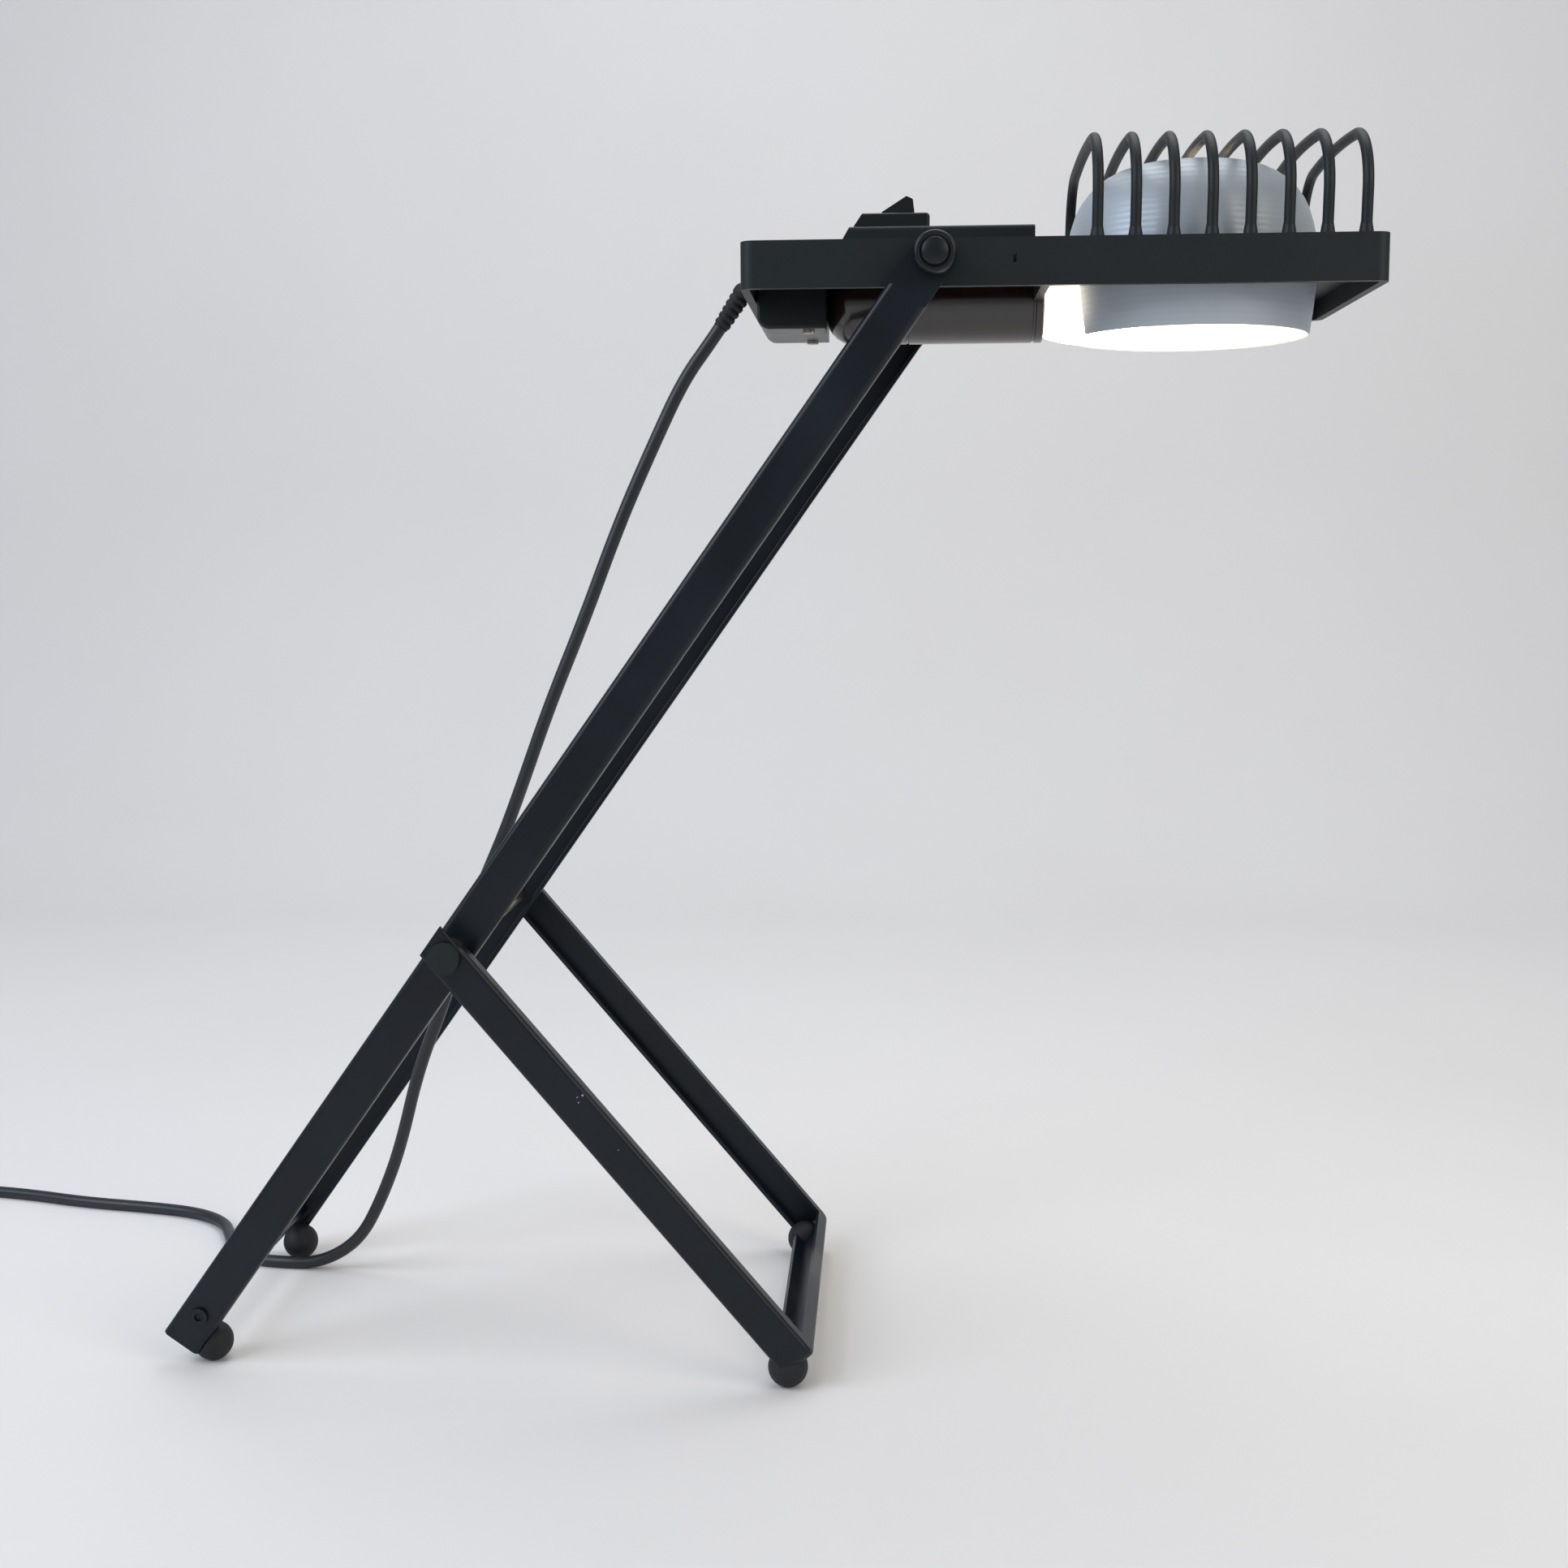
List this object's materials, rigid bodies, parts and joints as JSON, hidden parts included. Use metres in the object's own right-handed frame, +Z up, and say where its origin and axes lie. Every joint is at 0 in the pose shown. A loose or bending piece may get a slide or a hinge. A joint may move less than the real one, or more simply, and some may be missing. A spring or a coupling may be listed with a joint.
{
  "type": "accordion desk lamp",
  "caption": "Folding desk lamp: a channel-bar arm crossed by a U-shaped leg frame on one axle, and a level head with ribs over a spun reflector.",
  "frame": {"origin": "on the floor under the middle of the lamp without its cord", "axes": "+X from the arm's lower end to the front of the head, +Y to the lamp's left side, +Z up"},
  "size_m": [0.9759, 0.3232, 0.5826],
  "materials": {
    "black_steel": "satin black paint",
    "bright_steel": "zinc plated",
    "black_plastic": "fine grained moulding",
    "switch_plastic": "smooth moulding",
    "nylon": "natural nylon",
    "black_rubber": "matt rubber",
    "cord_black": "smooth black sheath",
    "brass": "plated",
    "ceramic": "glazed insulator",
    "spun_aluminium": "satin outside, white inside",
    "white_plastic": "white",
    "opal": "opal, lit",
    "wire_blue": "insulated cores"
  },
  "bodies": {
    "arm": {"arm_bar_right": "black_steel", "arm_bar_left": "black_steel", "foot_tie_rod": "black_steel", "foot_rod_screws": "bright_steel", "leg_axle": "bright_steel", "leg_axle_spacers": "bright_steel", "leg_pivot_caps": "black_plastic", "arm_foot_balls": "black_rubber", "cord_drop": "cord_black", "cord_floor": "cord_black", "cord_coil": "cord_black", "plug_body": "cord_black", "plug_pins": "brass"},
    "legs": {"leg_frame": "black_steel", "leg_pivot_bushes": "nylon", "leg_foot_balls": "black_rubber"},
    "head": {"head_frame": "black_plastic", "guard_ribs": "black_plastic", "top_housing": "black_plastic", "switch_bezel": "switch_plastic", "switch_body": "switch_plastic", "rocker_pin": "bright_steel", "rear_cover": "black_plastic", "cover_screws": "bright_steel", "lampholder_barrel": "switch_plastic", "lampholder_nipple": "bright_steel", "nipple_nuts": "bright_steel", "lampholder_insulator": "ceramic", "screw_shell": "brass", "centre_contact": "brass", "reflector": "spun_aluminium", "bulb_cap": "brass", "bulb_contact": "brass", "bulb_base": "white_plastic", "bulb_globe": "opal", "head_pivot_bolts": "bright_steel", "head_pivot_bushes": "black_plastic", "cord_gland": "black_rubber", "cord_inner_end": "cord_black", "cord_clamp": "nylon", "cord_clamp_screws": "bright_steel", "terminal_block": "nylon", "terminal_screws": "bright_steel", "inner_wires": "wire_blue", "cord_top": "cord_black"},
    "rocker": {"switch_rocker": "switch_plastic"},
    "knob_right": {"head_knob_right": "black_plastic"},
    "knob_left": {"head_knob_left": "black_plastic"}
  },
  "joints": [
    {"name": "leg_fold", "type": "hinge", "parent": "arm", "child": "legs", "pos_m": [-0.13991, 0, 0.2062], "axis": [0, 1, 0], "range_deg": [-15, 70]},
    {"name": "head_tilt", "type": "hinge", "parent": "arm", "child": "head", "pos_m": [0.08451, 0, 0.52198], "axis": [0, 1, 0], "range_deg": [-60, 120], "deforming": ["cord_top"]},
    {"name": "switch_press", "type": "hinge", "parent": "head", "child": "rocker", "pos_m": [0.06841, 0, 0.54898], "axis": [0, 1, 0], "range_deg": [0, 15]},
    {"name": "knob_right_turn", "type": "hinge", "parent": "head", "child": "knob_right", "pos_m": [0.08451, -0.085, 0.52198], "axis": [0, -1, 0], "range_deg": [0, 180]},
    {"name": "knob_left_turn", "type": "hinge", "parent": "head", "child": "knob_left", "pos_m": [0.08451, 0.085, 0.52198], "axis": [0, 1, 0], "range_deg": [0, 180]}
  ]
}
